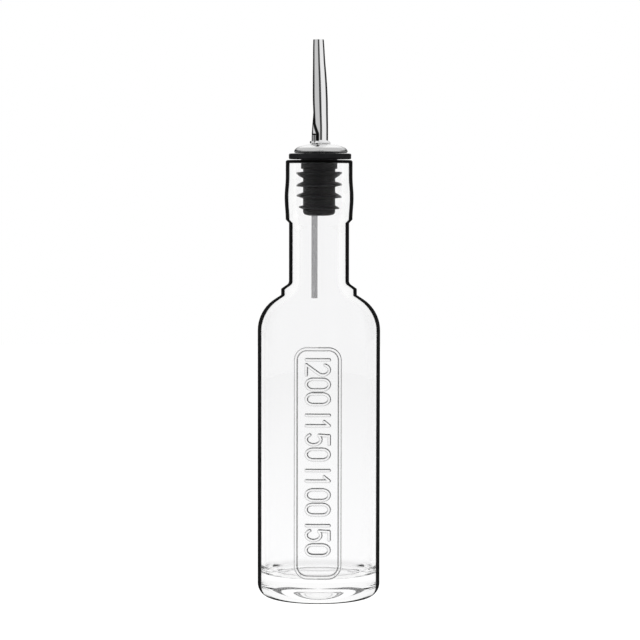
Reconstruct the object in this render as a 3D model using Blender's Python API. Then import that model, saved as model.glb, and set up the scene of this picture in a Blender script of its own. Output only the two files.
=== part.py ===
"""A clear glass bitters bottle with a steel pourer in a black rubber stopper.

Metres, +Z up. The origin is at the centre of the base, on the surface that the bottle stands on.
The front, with its raised panel frame, faces -Y. The bottle is empty.
"""

import math

import bmesh
import bpy

# Glass bottle: heights are above the base.
BODY_RADIUS = 0.02815
WALL = 0.0029
HEEL_ROUND = 0.0063
FOOT_RING_INNER_RADIUS = 0.0202
PUSH_UP_RADIUS = 0.0130
PUSH_UP_HEIGHT = 0.0050
FLOOR_HEIGHT = 0.0112
FLOOR_CROWN = 0.0006
FLOOR_ROUND = 0.0048
SHOULDER_START = 0.1232
SHOULDER_ROUND = 0.0170
SHOULDER_SWEEP = math.radians(57)
RING_RADIUS = 0.0174
RING_TOP = 0.1423
RING_ROUND = 0.0006
NECK_RADIUS = 0.0138
NECK_FOOT = 0.1448
NECK_FOOT_ROUND = 0.0022
NECK_TOP = 0.1725
BORE_RADIUS = 0.0106
COLLAR_RADIUS = 0.01532
COLLAR_FOOT = 0.1741
COLLAR_BULGE = 0.0005
COLLAR_BULGE_TOP = 0.1940
COLLAR_BULGE_STEPS = 6
LIP_HEIGHT = 0.2013
LIP_ROUND = 0.0009

# Raised frame of the front panel, measured round the body.
PANEL_HALF_WIDTH = 0.0111
PANEL_BOTTOM = 0.0120
PANEL_TOP = 0.1173
PANEL_CORNER = 0.0063
PANEL_TURN = math.radians(-1.0)
FRAME_WIDTH = 0.0015
FRAME_HEIGHT = 0.00045
FRAME_DRAFT = 0.00015
FRAME_ROOT = 0.0006
FRAME_CORNER_STEPS = 5
FRAME_END_STEPS = 6

# Pourer: heights are above the lip of the bottle, and below it they are negative.
GAP = 0.0003
FLANGE_RADIUS = 0.0143
FLANGE_BOTTOM = 0.0004
FLANGE_TOP = 0.0030
FLANGE_ROUND = 0.0006
STOPPER_BORE = 0.0044
SHANK_RADIUS = 0.00835
SHANK_BOTTOM = -0.0042
CORK_RADIUS = 0.0074
CORK_BOTTOM = -0.0256
CORK_CROWN = 0.0008
CORK_ROUND = 0.0018
FIN_RADIUS = BORE_RADIUS - GAP
FIN_EDGE = 0.00025
# Each fin: the height and the radius of its edge, and how far its root reaches above and below.
FINS = (
    (-0.0059, FIN_RADIUS, 0.0003, 0.0024),
    (-0.0118, FIN_RADIUS, 0.0014, 0.0008),
    (-0.0167, FIN_RADIUS, 0.0014, 0.0007),
    (-0.0217, 0.0092, 0.0008, 0.0006),
)

DOME_RADIUS = 0.01225
DOME_CENTRE_X = 0.0008
DOME_BOTTOM = FLANGE_TOP + GAP
DOME_SIDE = 0.0006
DOME_RISE = 0.0040
DOME_STEPS = 10
# How flat the top of the dome is: 2 would make its outline an ellipse.
DOME_FLATNESS = 3

AIR_TUBE_X = -0.00205
AIR_TUBE_Y = -0.0013
AIR_TUBE_RADIUS = 0.0014
AIR_TUBE_BORE = 0.0009
AIR_TUBE_BOTTOM = -0.0632
AIR_TUBE_TOP = 0.0114

SPOUT_WALL = 0.00045
SPOUT_FOOT = DOME_BOTTOM + DOME_RISE + GAP
SPOUT_FOOT_RADIUS = 0.0049
SPOUT_FOOT_HEIGHT = 0.0009
SPOUT_FOOT_LOBE = 0.0022
HOOD_BOTTOM = 0.0121
HOOD_TOP = 0.0165
HOOD_RADIUS = 0.00105
# How far the hood has tucked back into the tube at its top, as a share of its reach at the vent.
HOOD_TUCK = 0.55
HOOD_SHARES = (0.0, 0.35, 0.7)
# The spout's tube from foot to tip: height, radius, and how far its centre lies to the right.
SPOUT_STATIONS = (
    (0.0091, 0.00322, 0.00085),
    (0.0165, 0.00322, 0.00085),
    (0.0207, 0.00340, 0.00062),
    (0.0275, 0.00343, 0.00047),
    (0.0366, 0.00321, 0.00023),
    (0.0457, 0.00279, -0.00011),
    (0.0512, 0.00261, -0.00026),
    (0.0550, 0.00242, -0.00036),
)

# How finely round shapes are divided.
GLASS_SIDES = 48
STOPPER_SIDES = 32
DOME_SIDES = 40
SPOUT_SIDES = 32
TUBE_SIDES = 20
ARC_STEP = math.radians(14)
SHARP_EDGE = math.radians(35)
CUTTER_REACH = 0.002
MERGE_DISTANCE = 1e-7


def clear_scene():
    for old in list(bpy.data.objects):
        bpy.data.objects.remove(old)


def finish(name, colour, roughness, metallic=0.0, transmission=0.0):
    """A plain material for one sub-part."""
    material = bpy.data.materials.new(name)
    material.use_nodes = True
    shader = material.node_tree.nodes["Principled BSDF"]
    shader.inputs["Base Color"].default_value = (*colour, 1.0)
    shader.inputs["Roughness"].default_value = roughness
    shader.inputs["Metallic"].default_value = metallic
    shader.inputs["Transmission Weight"].default_value = transmission
    return material


def object_from(bm, name, material=None, parent=None):
    """An object of this mesh, with its faces pointing out and its curved faces smooth."""
    bmesh.ops.remove_doubles(bm, verts=bm.verts, dist=MERGE_DISTANCE)
    bmesh.ops.recalc_face_normals(bm, faces=bm.faces)
    mesh = bpy.data.meshes.new(name)
    bm.to_mesh(mesh)
    bm.free()
    mesh.shade_smooth()
    mesh.set_sharp_from_angle(angle=SHARP_EDGE)
    piece = bpy.data.objects.new(name, mesh)
    bpy.context.scene.collection.objects.link(piece)
    piece.parent = parent
    if material:
        mesh.materials.append(material)
    return piece


def combine(piece, tool, operation):
    """Joins a tool shape to a piece, or cuts it out. The tool shape itself stays out of the model."""
    tool.hide_render = True
    tool.display_type = "WIRE"
    boolean = piece.modifiers.new(tool.name, "BOOLEAN")
    boolean.operation = operation
    boolean.solver = "EXACT"
    boolean.object = tool


def rounded(corners):
    """Points of an outline through (radius, height, rounding) corners, each rounded by an arc."""
    points = []
    for index, (radius, height, rounding) in enumerate(corners):
        if not rounding:
            points.append((radius, height))
            continue
        before, after = corners[index - 1], corners[(index + 1) % len(corners)]
        angle_in = math.atan2(height - before[1], radius - before[0])
        angle_out = math.atan2(after[1] - height, after[0] - radius)
        turn = (angle_out - angle_in + math.pi) % math.tau - math.pi
        reach = rounding * math.tan(abs(turn) / 2)
        side = math.copysign(rounding, turn)
        centre_r = radius - reach * math.cos(angle_in) - side * math.sin(angle_in)
        centre_z = height - reach * math.sin(angle_in) + side * math.cos(angle_in)
        steps = max(2, math.ceil(abs(turn) / ARC_STEP))
        for step in range(steps + 1):
            angle = angle_in + turn * step / steps
            points.append((centre_r + side * math.sin(angle), centre_z - side * math.cos(angle)))
    return points


def turned(name, outline, sides, material, parent=None, closed=True):
    """A solid turned about the Z axis. An outline that isn't closed starts and ends on the axis."""
    bm = bmesh.new()
    verts = [bm.verts.new((radius, 0, height)) for radius, height in outline]
    edges = [bm.edges.new(pair) for pair in zip(verts, verts[1:])]
    if closed:
        edges.append(bm.edges.new((verts[-1], verts[0])))
    bmesh.ops.spin(
        bm, geom=verts + edges, cent=(0, 0, 0), axis=(0, 0, 1), angle=math.tau, steps=sides, use_merge=True
    )
    return object_from(bm, name, material, parent)


def lofted(name, loops, material=None, parent=None):
    """A ring-shaped solid skinned over closed loops of points, the last loop joined to the first."""
    bm = bmesh.new()
    rings = [[bm.verts.new(point) for point in loop] for loop in loops]
    for ring, following in zip(rings, rings[1:] + rings[:1]):
        for index in range(len(ring)):
            bm.faces.new((ring[index - 1], ring[index], following[index], following[index - 1]))
    return object_from(bm, name, material, parent)


def upright_cutter(name, x, y, radius, bottom, top, parent):
    """A cylinder that cuts a passage."""
    bm = bmesh.new()
    bmesh.ops.create_cone(
        bm, cap_ends=True, segments=TUBE_SIDES, radius1=radius, radius2=radius, depth=top - bottom
    )
    cutter = object_from(bm, name, parent=parent)
    cutter.location = (x, y, (bottom + top) / 2)
    return cutter


def collar_outline():
    """The slight belly of the collar, from its foot up to where it is straight."""
    points = []
    for step in range(1, COLLAR_BULGE_STEPS):
        share = step / COLLAR_BULGE_STEPS
        height = COLLAR_FOOT + share * (COLLAR_BULGE_TOP - COLLAR_FOOT)
        points.append((COLLAR_RADIUS + COLLAR_BULGE * math.sin(math.pi * share) ** 2, height, 0))
    return points


def shoulder_corner(radius, rounding):
    """Where the line up the wall would meet the straight slope above the rounded shoulder."""
    return radius, SHOULDER_START + rounding * math.tan(SHOULDER_SWEEP / 2), rounding


def glass_outline():
    """The outline of the glass: the outside from the push-up to the lip, then the inside down to the floor."""
    outer_shoulder = shoulder_corner(BODY_RADIUS, SHOULDER_ROUND)
    inner_shoulder = shoulder_corner(BODY_RADIUS - WALL, SHOULDER_ROUND - WALL)
    slope = 1 / math.tan(SHOULDER_SWEEP)
    ring_bottom = outer_shoulder[1] + (BODY_RADIUS - RING_RADIUS) * slope
    bore_bottom = inner_shoulder[1] + (BODY_RADIUS - WALL - BORE_RADIUS) * slope
    return rounded(
        [
            (0, PUSH_UP_HEIGHT, 0),
            (PUSH_UP_RADIUS, PUSH_UP_HEIGHT, PUSH_UP_RADIUS),
            (FOOT_RING_INNER_RADIUS, 0, 0),
            (BODY_RADIUS, 0, HEEL_ROUND),
            outer_shoulder,
            (RING_RADIUS, ring_bottom, 0),
            (RING_RADIUS, RING_TOP, RING_ROUND),
            (NECK_RADIUS, NECK_FOOT, NECK_FOOT_ROUND),
            (NECK_RADIUS, NECK_TOP, 0),
            (COLLAR_RADIUS, COLLAR_FOOT, 0),
            *collar_outline(),
            (COLLAR_RADIUS, COLLAR_BULGE_TOP, 0),
            (COLLAR_RADIUS, LIP_HEIGHT, LIP_ROUND),
            (BORE_RADIUS, LIP_HEIGHT, LIP_ROUND),
            (BORE_RADIUS, bore_bottom, WALL),
            inner_shoulder,
            (BODY_RADIUS - WALL, FLOOR_HEIGHT, FLOOR_ROUND),
            (0, FLOOR_HEIGHT + FLOOR_CROWN, 0),
        ]
    )


def panel_loop(inset, radius):
    """A rounded rectangle wrapped on a cylinder of this radius, inset from the outside of the panel."""
    half_width = PANEL_HALF_WIDTH - PANEL_CORNER
    half_height = (PANEL_TOP - PANEL_BOTTOM) / 2 - PANEL_CORNER
    corner = PANEL_CORNER - inset
    right = []
    for step in range(FRAME_CORNER_STEPS + 1):
        angle = math.pi / 2 * step / FRAME_CORNER_STEPS
        right.append((half_width + corner * math.cos(angle), half_height + corner * math.sin(angle)))
    end = [
        (half_width * (1 - 2 * step / FRAME_END_STEPS), half_height + corner)
        for step in range(1, FRAME_END_STEPS)
    ]
    left = [(-across, height) for across, height in reversed(right)]
    upper = right + end + left
    lower = [(-across, -height) for across, height in upper]
    middle = (PANEL_TOP + PANEL_BOTTOM) / 2
    wrapped = []
    for across, height in upper + lower:
        angle = across / BODY_RADIUS + PANEL_TURN
        wrapped.append((radius * math.sin(angle), -radius * math.cos(angle), middle + height))
    return wrapped


def make_bottle():
    glass = finish("clear_glass", (1.0, 1.0, 1.0), 0.02, transmission=1.0)
    bottle = turned("glass_bottle", glass_outline(), GLASS_SIDES, glass, closed=False)
    root, crest = BODY_RADIUS - FRAME_ROOT, BODY_RADIUS + FRAME_HEIGHT
    frame = lofted(
        "panel_frame_relief",
        [
            panel_loop(0, root),
            panel_loop(FRAME_DRAFT, crest),
            panel_loop(FRAME_WIDTH - FRAME_DRAFT, crest),
            panel_loop(FRAME_WIDTH, root),
        ],
    )
    combine(bottle, frame, "UNION")


def stopper_outline():
    """The rubber from the top of its flange down its outside to the foot, then up its bore."""
    corners = [
        (STOPPER_BORE, FLANGE_TOP, 0),
        (FLANGE_RADIUS, FLANGE_TOP, FLANGE_ROUND),
        (FLANGE_RADIUS, FLANGE_BOTTOM, FLANGE_ROUND),
        (SHANK_RADIUS, FLANGE_BOTTOM, 0),
        (SHANK_RADIUS, SHANK_BOTTOM, 0),
        (CORK_RADIUS, SHANK_BOTTOM, 0),
    ]
    for height, radius, above, below in FINS:
        corners += [
            (CORK_RADIUS, height + above, 0),
            (radius, height + FIN_EDGE, 0),
            (radius, height - FIN_EDGE, 0),
            (CORK_RADIUS, height - below, 0),
        ]
    corners += [
        (CORK_RADIUS, CORK_BOTTOM + CORK_CROWN, CORK_ROUND),
        (STOPPER_BORE, CORK_BOTTOM, 0),
    ]
    return rounded(corners)


def make_stopper(pourer):
    rubber = finish("black_rubber", (0.012, 0.012, 0.013), 0.55)
    turned("rubber_stopper", stopper_outline(), STOPPER_SIDES, rubber, pourer)


def make_dome(pourer, steel):
    """The domed washer on the flange, with the holes that the spout's bore and the air tube need."""
    top = DOME_BOTTOM + DOME_RISE
    outline = [(0, DOME_BOTTOM), (DOME_RADIUS, DOME_BOTTOM)]
    for step in range(DOME_STEPS):
        angle = math.pi / 2 * step / DOME_STEPS
        radius = DOME_RADIUS * math.cos(angle) ** (2 / DOME_FLATNESS)
        outline.append((radius, DOME_BOTTOM + DOME_SIDE + (DOME_RISE - DOME_SIDE) * math.sin(angle)))
    outline.append((0, top))
    dome = turned("steel_dome", outline, DOME_SIDES, steel, pourer, closed=False)
    dome.location.x = DOME_CENTRE_X
    low, high = DOME_BOTTOM - CUTTER_REACH, top + CUTTER_REACH
    _, radius, centre = SPOUT_STATIONS[0]
    combine(dome, upright_cutter("dome_bore", centre, 0, radius - SPOUT_WALL, low, high, pourer), "DIFFERENCE")
    combine(dome, air_tube_passage("dome_air_passage", low, high, pourer), "DIFFERENCE")


def air_tube_passage(name, bottom, top, pourer):
    return upright_cutter(name, AIR_TUBE_X, AIR_TUBE_Y, AIR_TUBE_RADIUS + GAP, bottom, top, pourer)


def spout_loop(height, radius, centre, lobe_radius, lobe_pull, wall=0.0):
    """A round section, with the lobe that wraps the air tube beside it, drawn wall inside of the outside."""
    lobe_x = (AIR_TUBE_X - centre) * lobe_pull
    lobe_y = AIR_TUBE_Y * lobe_pull
    lobe_distance = math.hypot(lobe_x, lobe_y)
    points = []
    for side in range(SPOUT_SIDES):
        angle = math.tau * side / SPOUT_SIDES
        along = lobe_x * math.cos(angle) + lobe_y * math.sin(angle)
        across_squared = lobe_distance**2 - along**2
        reach = radius
        if along > 0 and across_squared < lobe_radius**2:
            reach = max(radius, along + math.sqrt(lobe_radius**2 - across_squared))
        reach -= wall
        points.append((centre + reach * math.cos(angle), reach * math.sin(angle), height))
    return points


def hood_pull(height):
    """How far out the lobe lies: all the way at the vent, and back inside the tube at the hood's top."""
    share = min(1.0, max(0.0, (height - HOOD_BOTTOM) / (HOOD_TOP - HOOD_BOTTOM)))
    return 1.0 - HOOD_TUCK * share


def foot_sections():
    """Height, radius and lobe radius of the foot ring's sections, from the bottom up."""
    top = SPOUT_FOOT + SPOUT_FOOT_HEIGHT
    return (
        (SPOUT_FOOT, SPOUT_FOOT_RADIUS, SPOUT_FOOT_LOBE),
        (top - GAP, SPOUT_FOOT_RADIUS, SPOUT_FOOT_LOBE),
        (top, SPOUT_FOOT_RADIUS - GAP, SPOUT_FOOT_LOBE - GAP),
    )


def tube_sections():
    """Height, radius and centre of the tube's sections above the foot ring."""
    (_, radius, centre), *rest = SPOUT_STATIONS
    heights = [SPOUT_FOOT + SPOUT_FOOT_HEIGHT + GAP]
    heights += [HOOD_BOTTOM + share * (HOOD_TOP - HOOD_BOTTOM) for share in HOOD_SHARES]
    return [(height, radius, centre) for height in heights] + rest


def make_spout(pourer, steel):
    """The tapered tube, with a hood on its left over the vent, where the air tube ends in a slot."""
    _, tube_radius, centre = SPOUT_STATIONS[0]
    outside, inside = [], []
    for height, radius, lobe_radius in foot_sections():
        outside.append(spout_loop(height, radius, centre, lobe_radius, 1.0))
        inside.append(spout_loop(height, tube_radius, centre, HOOD_RADIUS, 1.0, SPOUT_WALL))
    for height, radius, centre in tube_sections():
        pull = hood_pull(height)
        outside.append(spout_loop(height, radius, centre, HOOD_RADIUS, pull))
        inside.append(spout_loop(height, radius, centre, HOOD_RADIUS, pull, SPOUT_WALL))
    inside.reverse()
    spout = lofted("steel_spout", outside + inside, steel, pourer)
    slot = air_tube_passage("vent_slot", SPOUT_FOOT - CUTTER_REACH, HOOD_BOTTOM, pourer)
    combine(spout, slot, "DIFFERENCE")


def make_air_tube(pourer, steel):
    """The thin breather tube, from the vent at the spout's foot down through the stopper into the neck."""
    outline = [
        (AIR_TUBE_BORE, AIR_TUBE_BOTTOM),
        (AIR_TUBE_RADIUS, AIR_TUBE_BOTTOM),
        (AIR_TUBE_RADIUS, AIR_TUBE_TOP),
        (AIR_TUBE_BORE, AIR_TUBE_TOP),
    ]
    tube = turned("air_tube", outline, TUBE_SIDES, steel, pourer)
    tube.location = (AIR_TUBE_X, AIR_TUBE_Y, 0)


def make_pourer():
    pourer = bpy.data.objects.new("pourer", None)
    bpy.context.scene.collection.objects.link(pourer)
    pourer.location.z = LIP_HEIGHT
    steel = finish("polished_steel", (0.78, 0.78, 0.79), 0.12, metallic=1.0)
    make_stopper(pourer)
    make_dome(pourer, steel)
    make_spout(pourer, steel)
    make_air_tube(pourer, steel)


clear_scene()
make_bottle()
make_pourer()
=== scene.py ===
"""Looks of a clear glass bitters bottle with a steel pourer in a black rubber stopper.

Metres, +Z up, the front faces -Y. The glass is turned from its outline, with the raised panel frame
and a plain graduated scale moulded on its front.
"""

import math

import bpy
import numpy as np
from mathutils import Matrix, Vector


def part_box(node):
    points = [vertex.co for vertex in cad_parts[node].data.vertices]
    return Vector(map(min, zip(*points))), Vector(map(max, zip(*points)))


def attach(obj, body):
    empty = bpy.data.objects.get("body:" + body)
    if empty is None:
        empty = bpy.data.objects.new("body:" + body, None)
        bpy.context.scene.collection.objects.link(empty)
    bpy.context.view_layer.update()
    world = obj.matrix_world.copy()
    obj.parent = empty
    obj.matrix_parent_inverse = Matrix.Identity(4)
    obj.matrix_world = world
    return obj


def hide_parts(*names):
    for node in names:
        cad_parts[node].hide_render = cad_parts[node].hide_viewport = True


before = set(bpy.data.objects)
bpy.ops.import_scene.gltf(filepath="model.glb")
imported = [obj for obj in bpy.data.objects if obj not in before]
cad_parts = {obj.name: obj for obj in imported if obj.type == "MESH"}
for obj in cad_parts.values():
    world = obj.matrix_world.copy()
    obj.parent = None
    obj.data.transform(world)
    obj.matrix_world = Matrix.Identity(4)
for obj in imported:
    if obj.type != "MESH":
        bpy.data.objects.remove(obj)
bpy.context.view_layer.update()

# Places and sizes taken from the frame.
GLASS_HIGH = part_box("glass_bottle")[1]
STOPPER_LOW, STOPPER_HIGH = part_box("rubber_stopper")
DOME_LOW, DOME_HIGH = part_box("steel_dome")
SPOUT_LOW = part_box("steel_spout")[0]
TUBE_LOW, TUBE_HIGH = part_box("air_tube")
BODY_RADIUS = GLASS_HIGH[0]
LIP_HEIGHT = GLASS_HIGH[2]
FLANGE_RADIUS = STOPPER_HIGH[0]
FLANGE_TOP = STOPPER_HIGH[2]
CORK_BOTTOM = STOPPER_LOW[2]
DOME_CENTRE_X = (DOME_LOW[0] + DOME_HIGH[0]) / 2
DOME_RADIUS = (DOME_HIGH[0] - DOME_LOW[0]) / 2
AIR_TUBE_X = (TUBE_LOW[0] + TUBE_HIGH[0]) / 2
AIR_TUBE_Y = (TUBE_LOW[1] + TUBE_HIGH[1]) / 2
AIR_TUBE_RADIUS = (TUBE_HIGH[0] - TUBE_LOW[0]) / 2

# Gap between pieces that touch, how near points are merged, and the sharpest turn shaded smooth.
GAP = 0.0003
MERGE = 1e-6
SMOOTH_ANGLE = math.radians(40)

# Glass outline: heights are above the base.
WALL = 0.0029
HEEL_ROUND = 0.0063
FOOT_RING_INNER_RADIUS = 0.0202
FOOT_RING_ROUND = 0.0004
PUSH_UP_RADIUS = 0.0130
PUSH_UP_HEIGHT = 0.0050
FLOOR_HEIGHT = 0.0112
FLOOR_CROWN = 0.0006
FLOOR_ROUND = 0.0048
SHOULDER_START = 0.1232
SHOULDER_ROUND = 0.0170
SHOULDER_SWEEP = math.radians(57)
RING_RADIUS = 0.0174
RING_TOP = 0.1423
RING_ROUND = 0.0006
NECK_RADIUS = 0.0138
NECK_FOOT = 0.1448
NECK_FOOT_ROUND = 0.0022
NECK_TOP = 0.1725
NECK_TOP_ROUND = 0.0002
BORE_RADIUS = 0.0106
NECK_BORE_RADIUS = 0.0091
BORE_TAPER_TOP = 0.1825
BORE_TAPER_BOTTOM = 0.1690
BORE_TAPER_ROUND = 0.03
INNER_FLARE_ROUND = 0.010
COLLAR_RADIUS = 0.01532
COLLAR_FOOT = 0.1741
COLLAR_FOOT_ROUND = 0.0004
COLLAR_BULGE = 0.0005
COLLAR_BULGE_TOP = 0.1940
COLLAR_BULGE_STEPS = 14
LIP_ROUND = 0.0009
LIP_MIDDLE = (COLLAR_RADIUS + BORE_RADIUS) / 2
ARC_STEP = math.radians(6)

# Front sector, whose wall is divided finely enough for the moulded relief.
FRONT_HALF_ANGLE = math.radians(25)
FRONT_STEPS = 96
BACK_STEPS = 150
RELIEF_LOW, RELIEF_HIGH = 0.0105, 0.1188
RELIEF_ROWS = 400
PANEL_HALF_WIDTH = 0.0111
PANEL_BOTTOM = 0.0120
PANEL_TOP = 0.1173
PANEL_CORNER = 0.0063
PANEL_TURN = math.radians(-1.0)
FRAME_WIDTH = 0.0021
FRAME_HEIGHT = 0.00045
NUMBER_HEIGHT = 0.00035
SLOPE_WIDTH = 0.00075
# How dark the painted shade on the slopes is: the frame's outer slope left and right of its middle, and the
# numbers'.
OUTER_LINE_LEFT = 0.85
OUTER_LINE_RIGHT = 1.2
NUMBER_LINE = 1.4
NUMBER_SHADE = 0.65
NUMBER_SWING = 0.35

# Graduated scale: digits are drawn lying on their side, and read from the top down.
DIGIT_TALL = 0.0104
DIGIT_WIDE = 0.0048
DIGIT_PITCH = 0.0066
STROKE = 0.0019
MARK_VOLUMES = (50, 100, 150, 200)
MARK_DROP = 0.0021
SHADE_STEP = 0.0002

# Stopper: heights are taken from the lip.
FLANGE_BOTTOM = LIP_HEIGHT + 0.0004
FLANGE_ROUND = 0.0006
STOPPER_BORE = 0.0044
SHANK_RADIUS = 0.00835
SHANK_BOTTOM = LIP_HEIGHT - 0.0042
CORK_RADIUS = 0.0074
CORK_CROWN = 0.0008
CORK_ROUND = 0.0018
RUBBER_CREASE = 0.0002
RUBBER_EDGE = 0.0003
STOPPER_STEPS = 96
# Each fin: height and radius of its edge, reach of its root above and below, and its sag to the right.
FINS = (
    (LIP_HEIGHT - 0.0059, 0.01055, 0.0004, 0.0027, -0.0001),
    (LIP_HEIGHT - 0.0118, 0.01055, 0.0016, 0.0010, -0.0003),
    (LIP_HEIGHT - 0.0167, 0.0104, 0.0015, 0.0009, 0.0003),
    (LIP_HEIGHT - 0.0217, 0.0093, 0.0010, 0.0008, 0.0003),
)
FIN_EDGE = 0.00025
FIN_SWELL = 0.62
FLANGE_CENTRE_X = 0.0004

# Dome
DOME_SIDE = 0.0006
DOME_BORE = 0.0046
DOME_STEPS = 28
DOME_ROUND_STEPS = 128
DOME_FLATNESS = 3

# Spout and air tube
SPOUT_WALL = 0.00045
SPOUT_FOOT_RADIUS = 0.0045
SPOUT_FOOT_HEIGHT = 0.0009
SPOUT_FOOT_LOBE = 0.0022
# Rings of the foot: how high each lies, and how far it stays inside the foot's radius.
SPOUT_FOOT_RINGS = ((0.0, 0.0002), (0.0002, 0.0), (0.0006, 0.0005), (SPOUT_FOOT_HEIGHT, 0.0007))
FILLET_SHARES = (0.3, 0.6, 0.85, 1.0)
FILLET_START = 0.0001
FILLET_RISE = 0.0007
FILLET_INSET = 0.0008
SPOUT_TUBE_START = 0.0014
HOOD_BOTTOM = LIP_HEIGHT + 0.0121
HOOD_TOP = LIP_HEIGHT + 0.0225
HOOD_RADIUS = 0.0023
HOOD_CENTRE = (-0.0020, -0.0006)
HOOD_TIP = (-0.0035, 0.0)
# Width of the painted shade along the fold where the hood meets the tube.
FOLD_WIDTH = 0.0010
# The spout's tube from foot to tip: height, radius, and how far its centre lies to the right.
SPOUT_STATIONS = (
    (LIP_HEIGHT + 0.0091, 0.00322, 0.00085),
    (LIP_HEIGHT + 0.0150, 0.00322, 0.00085),
    (LIP_HEIGHT + 0.0207, 0.00332, 0.00066),
    (LIP_HEIGHT + 0.0275, 0.00343, 0.00047),
    (LIP_HEIGHT + 0.0366, 0.00321, 0.00023),
    (LIP_HEIGHT + 0.0457, 0.00279, -0.00011),
    (LIP_HEIGHT + 0.0512, 0.00261, -0.00026),
    (LIP_HEIGHT + 0.0550, 0.00242, -0.00036),
)
SPOUT_SIDES = 64
SPOUT_RING_STEP = 0.0008
SLOT_STEPS = 48
TUBE_WALL = 0.0005
TUBE_EDGE = 0.0001
TUBE_STEPS = 40

# Glass finish: its tints, and where its outline, the top of its lip and its heel are painted black, a
# painted dark reflection as a curved glass edge shows.
GLASS_IOR = 1.5
GLASS_SHINE = (0.14, 0.14, 0.14, 1)
GLASS_TINT = (0.975, 0.975, 0.975)
CORDS = {"Scale": 90.0, "Stretch": 0.12}
CORD_TINTS = ((0.925, 0.925, 0.93), (0.965, 0.965, 0.97))
# Black painted into the glass's base colour: painted dark reflection on the outline, lip and heel, and
# painted shade on the relief's slopes.
PAINTED_LINE_BLACK = (0.0, 0.0, 0.0)
EDGE_LINE = 0.00166
EDGE_FADE = (0.93, 1.05)
LEVEL_MIN = 0.01
LIP_LINE = 0.0016
LIP_LINE_FADE = 0.00024
HEEL_LIMIT = 0.36
HEEL_ZONE = (0.0015, 0.0030)
UNDER_ZONE = (0.0212, 0.0222)
# Painted shade on the relief's slopes: the slope mark at which it is darkest, and how much of the glass
# colour is left there.
RELIEF_FULL = 0.75
RELIEF_CLEAR = 0.02
# Steps in the wall: low and high end, and how far the level normal fades out below and above them.
STEP_ZONES = ((0.1242, 0.1462, 0.0010, 0.0012), (0.1718, 0.1748, 0.0008, 0.0008))

# Rubber finish
RUBBER_SHINE = 0.12
RUBBER_GRAIN = {"Scale": 900.0, "Bump": 0.25, "Depth": 0.00003}
RUBBER_DUST = {"Scale": 120.0}
RUBBER_TONES = ((0.004, 0.004, 0.0045), (0.010, 0.010, 0.011))
RUBBER_TONE_RANGE = (0.45, 0.7)
RUBBER_ROUGHNESS = (0.48, 0.62)
RUBBER_ROUGHNESS_RANGE = (0.3, 0.7)

# Steel finishes: dark and light tone, and smooth and dull roughness.
POLISHED = ((0.74, 0.74, 0.75), (0.86, 0.86, 0.86), 0.05, 0.12)
SATIN = ((0.91, 0.91, 0.91), (0.96, 0.96, 0.96), 0.22, 0.30)
DULL = ((0.30, 0.30, 0.31), (0.44, 0.44, 0.44), 0.10, 0.18)
# Painted shade: the spout's inside is the same steel painted near black, as if in shade.
PAINTED_SHADE_STEEL = ((0.03, 0.03, 0.03), (0.06, 0.06, 0.06), 0.4, 0.5)
STEEL_HAZE = {"Scale": 260.0, "Stretch": 0.25}
STEEL_HAZE_RANGE = (0.35, 0.7)
STEEL_POLISH = {"Scale": 2500.0, "Stretch": 0.04, "Bump": 0.06, "Depth": 0.00001}
# Painted shade in the spout's fold: the range of the fold mark over which the steel turns dark, and the dark
# colour.
FOLD_RANGE = (0.1, 0.5)
FOLD_SHADE_COLOUR = (0.01, 0.01, 0.01)
# Painted reflection of the black flange: below this height the dome's steel is painted a darker grey, fading
# over RIM_FADE.
RIM_HEIGHT = 0.0023
RIM_FADE = 0.0003
RIM_PAINTED_REFLECTION = (0.52, 0.52, 0.52)

# Studio: angles are measured from straight behind the bottle, heights are those of a unit direction.
SCREEN_EDGE = (math.radians(76), math.radians(92))
SCREEN_LEVEL = 0.02
SCREEN_TOP = (0.24, 0.42)
BACKLIGHT_EDGE = (math.radians(4), math.radians(9))
CAMERA_GAP_EDGE = (math.radians(158), math.radians(169))
CAMERA_GAP_LEVEL = 0.06
SIDE_BLEND = (-0.2, 0.2)
LEFT_LEVEL = 0.68
SKY_RANGE = (0.35, 0.80)
SKY_LEVEL = 0.5
FLOOR_SIZE = 3.6
FLOOR_DROP = 0.0001
FLOOR_GLOW = 0.15
FLOOR_COLOUR = (0.9, 0.9, 0.9)
# Painted shade on the floor: its grey as the steel mirrors it, and as seen through the glass, level and
# steep.
FLOOR_MIRRORED = (0.42, 0.42, 0.42)
FLOOR_THROUGH_LEVEL = (0.83, 0.83, 0.83)
FLOOR_THROUGH_STEEP = (0.72, 0.72, 0.72)
FLOOR_STEEPNESS = (0.25, 0.62)
LIGHT_PLACE = (-0.7, -0.9, 1.1)
LIGHT_TURN = (math.radians(45), 0, math.radians(-38))
LIGHT_SIZE = 0.8
LIGHT_POWER = 6

# Camera: the photo is taken from a little over a metre away, just below the height of the lip.
CAMERA_DISTANCE = 1.127
CAMERA_HEIGHT = 0.1887
AIM_HEIGHT = 0.1279
CAMERA_SHIFT_RIGHT = 0.0004
CAMERA_ROLL = math.radians(-0.084)
LENS = 138.0
SENSOR = 36.0


# Modelling

def deselect():
    if bpy.context.object and bpy.context.object.mode != "OBJECT":
        bpy.ops.object.mode_set(mode="OBJECT")
    bpy.ops.object.select_all(action="DESELECT")


def choose(*pieces):
    deselect()
    for piece in pieces:
        piece.select_set(True)
    bpy.context.view_layer.objects.active = pieces[0]


def edit_all(piece):
    choose(piece)
    bpy.ops.object.mode_set(mode="EDIT")
    bpy.ops.mesh.select_all(action="SELECT")


def leave_edit():
    bpy.ops.object.mode_set(mode="OBJECT")


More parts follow.
